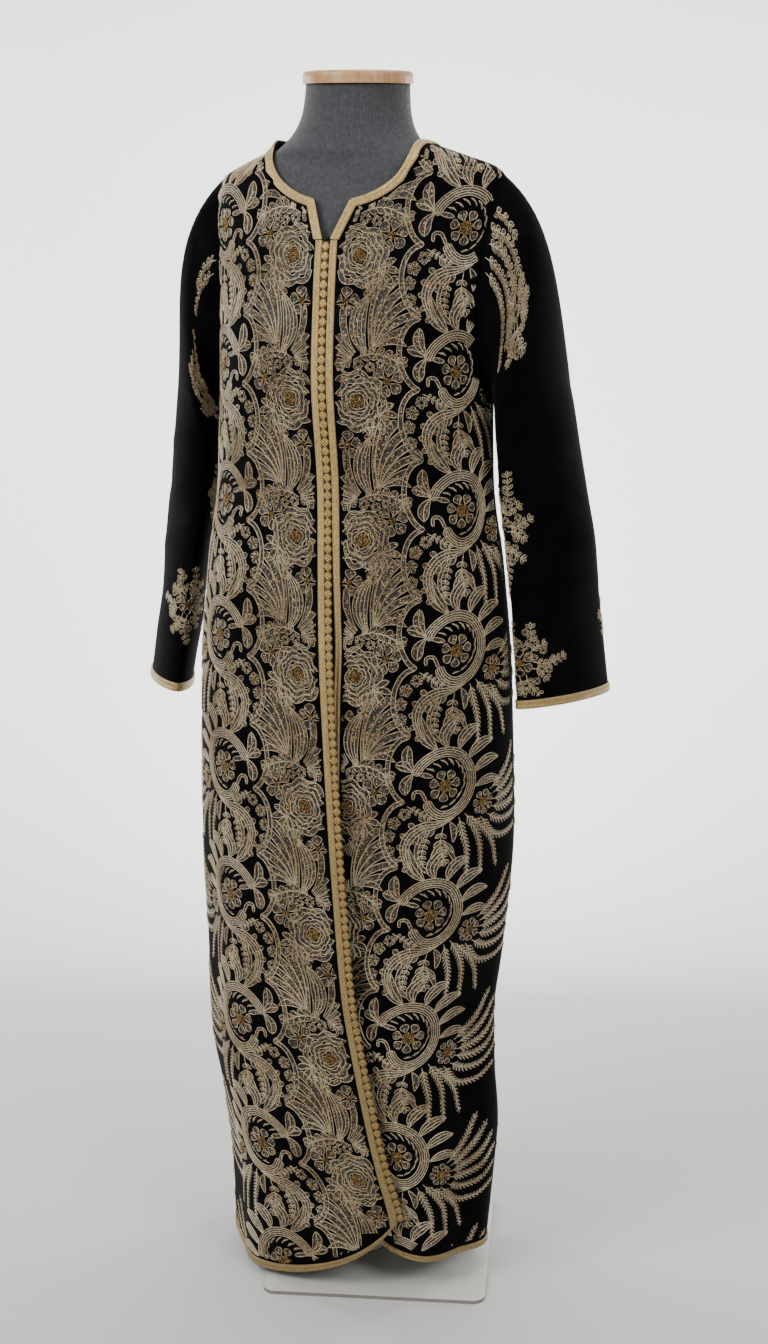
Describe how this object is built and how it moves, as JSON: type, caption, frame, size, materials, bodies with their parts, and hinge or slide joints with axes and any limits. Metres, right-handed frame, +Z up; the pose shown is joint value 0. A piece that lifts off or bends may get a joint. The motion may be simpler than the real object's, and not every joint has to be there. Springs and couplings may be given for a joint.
{
  "type": "moroccan kaftan on a dress form",
  "caption": "Full-length open-front velvet kaftan with gold braid, knot buttons and couched embroidery, worn by a limbless dress form on a pole and square plate.",
  "frame": {"origin": "where the pole's axis meets the floor, on the underside of the stand's plate", "axes": "+Z up, -Y the garment's front, +X the wearer's left"},
  "size_m": [0.6358, 0.3464, 1.5398],
  "materials": {
    "velvet": "black cotton velvet with couched taupe cord embroidery",
    "gold_braid": "gold metallic-thread braid and knotted cord",
    "form_cover": "stretched charcoal jersey",
    "form_wood": "clear-varnished turned beech",
    "stand_paint": "pale powder-coated steel"
  },
  "bodies": {
    "root": {"front_right": "velvet", "front_left": "velvet", "back": "velvet", "sleeve_right": "velvet", "sleeve_left": "velvet", "edge_braid_right": "gold_braid", "edge_braid_left": "gold_braid", "hem_braid_back": "gold_braid", "neck_braid": "gold_braid", "cuff_braid_right": "gold_braid", "cuff_braid_left": "gold_braid", "button_row": "gold_braid", "form_torso": "form_cover", "form_cap": "form_wood", "stand_pole": "stand_paint", "stand_flange": "stand_paint", "stand_plate": "stand_paint"}
  },
  "joints": []
}
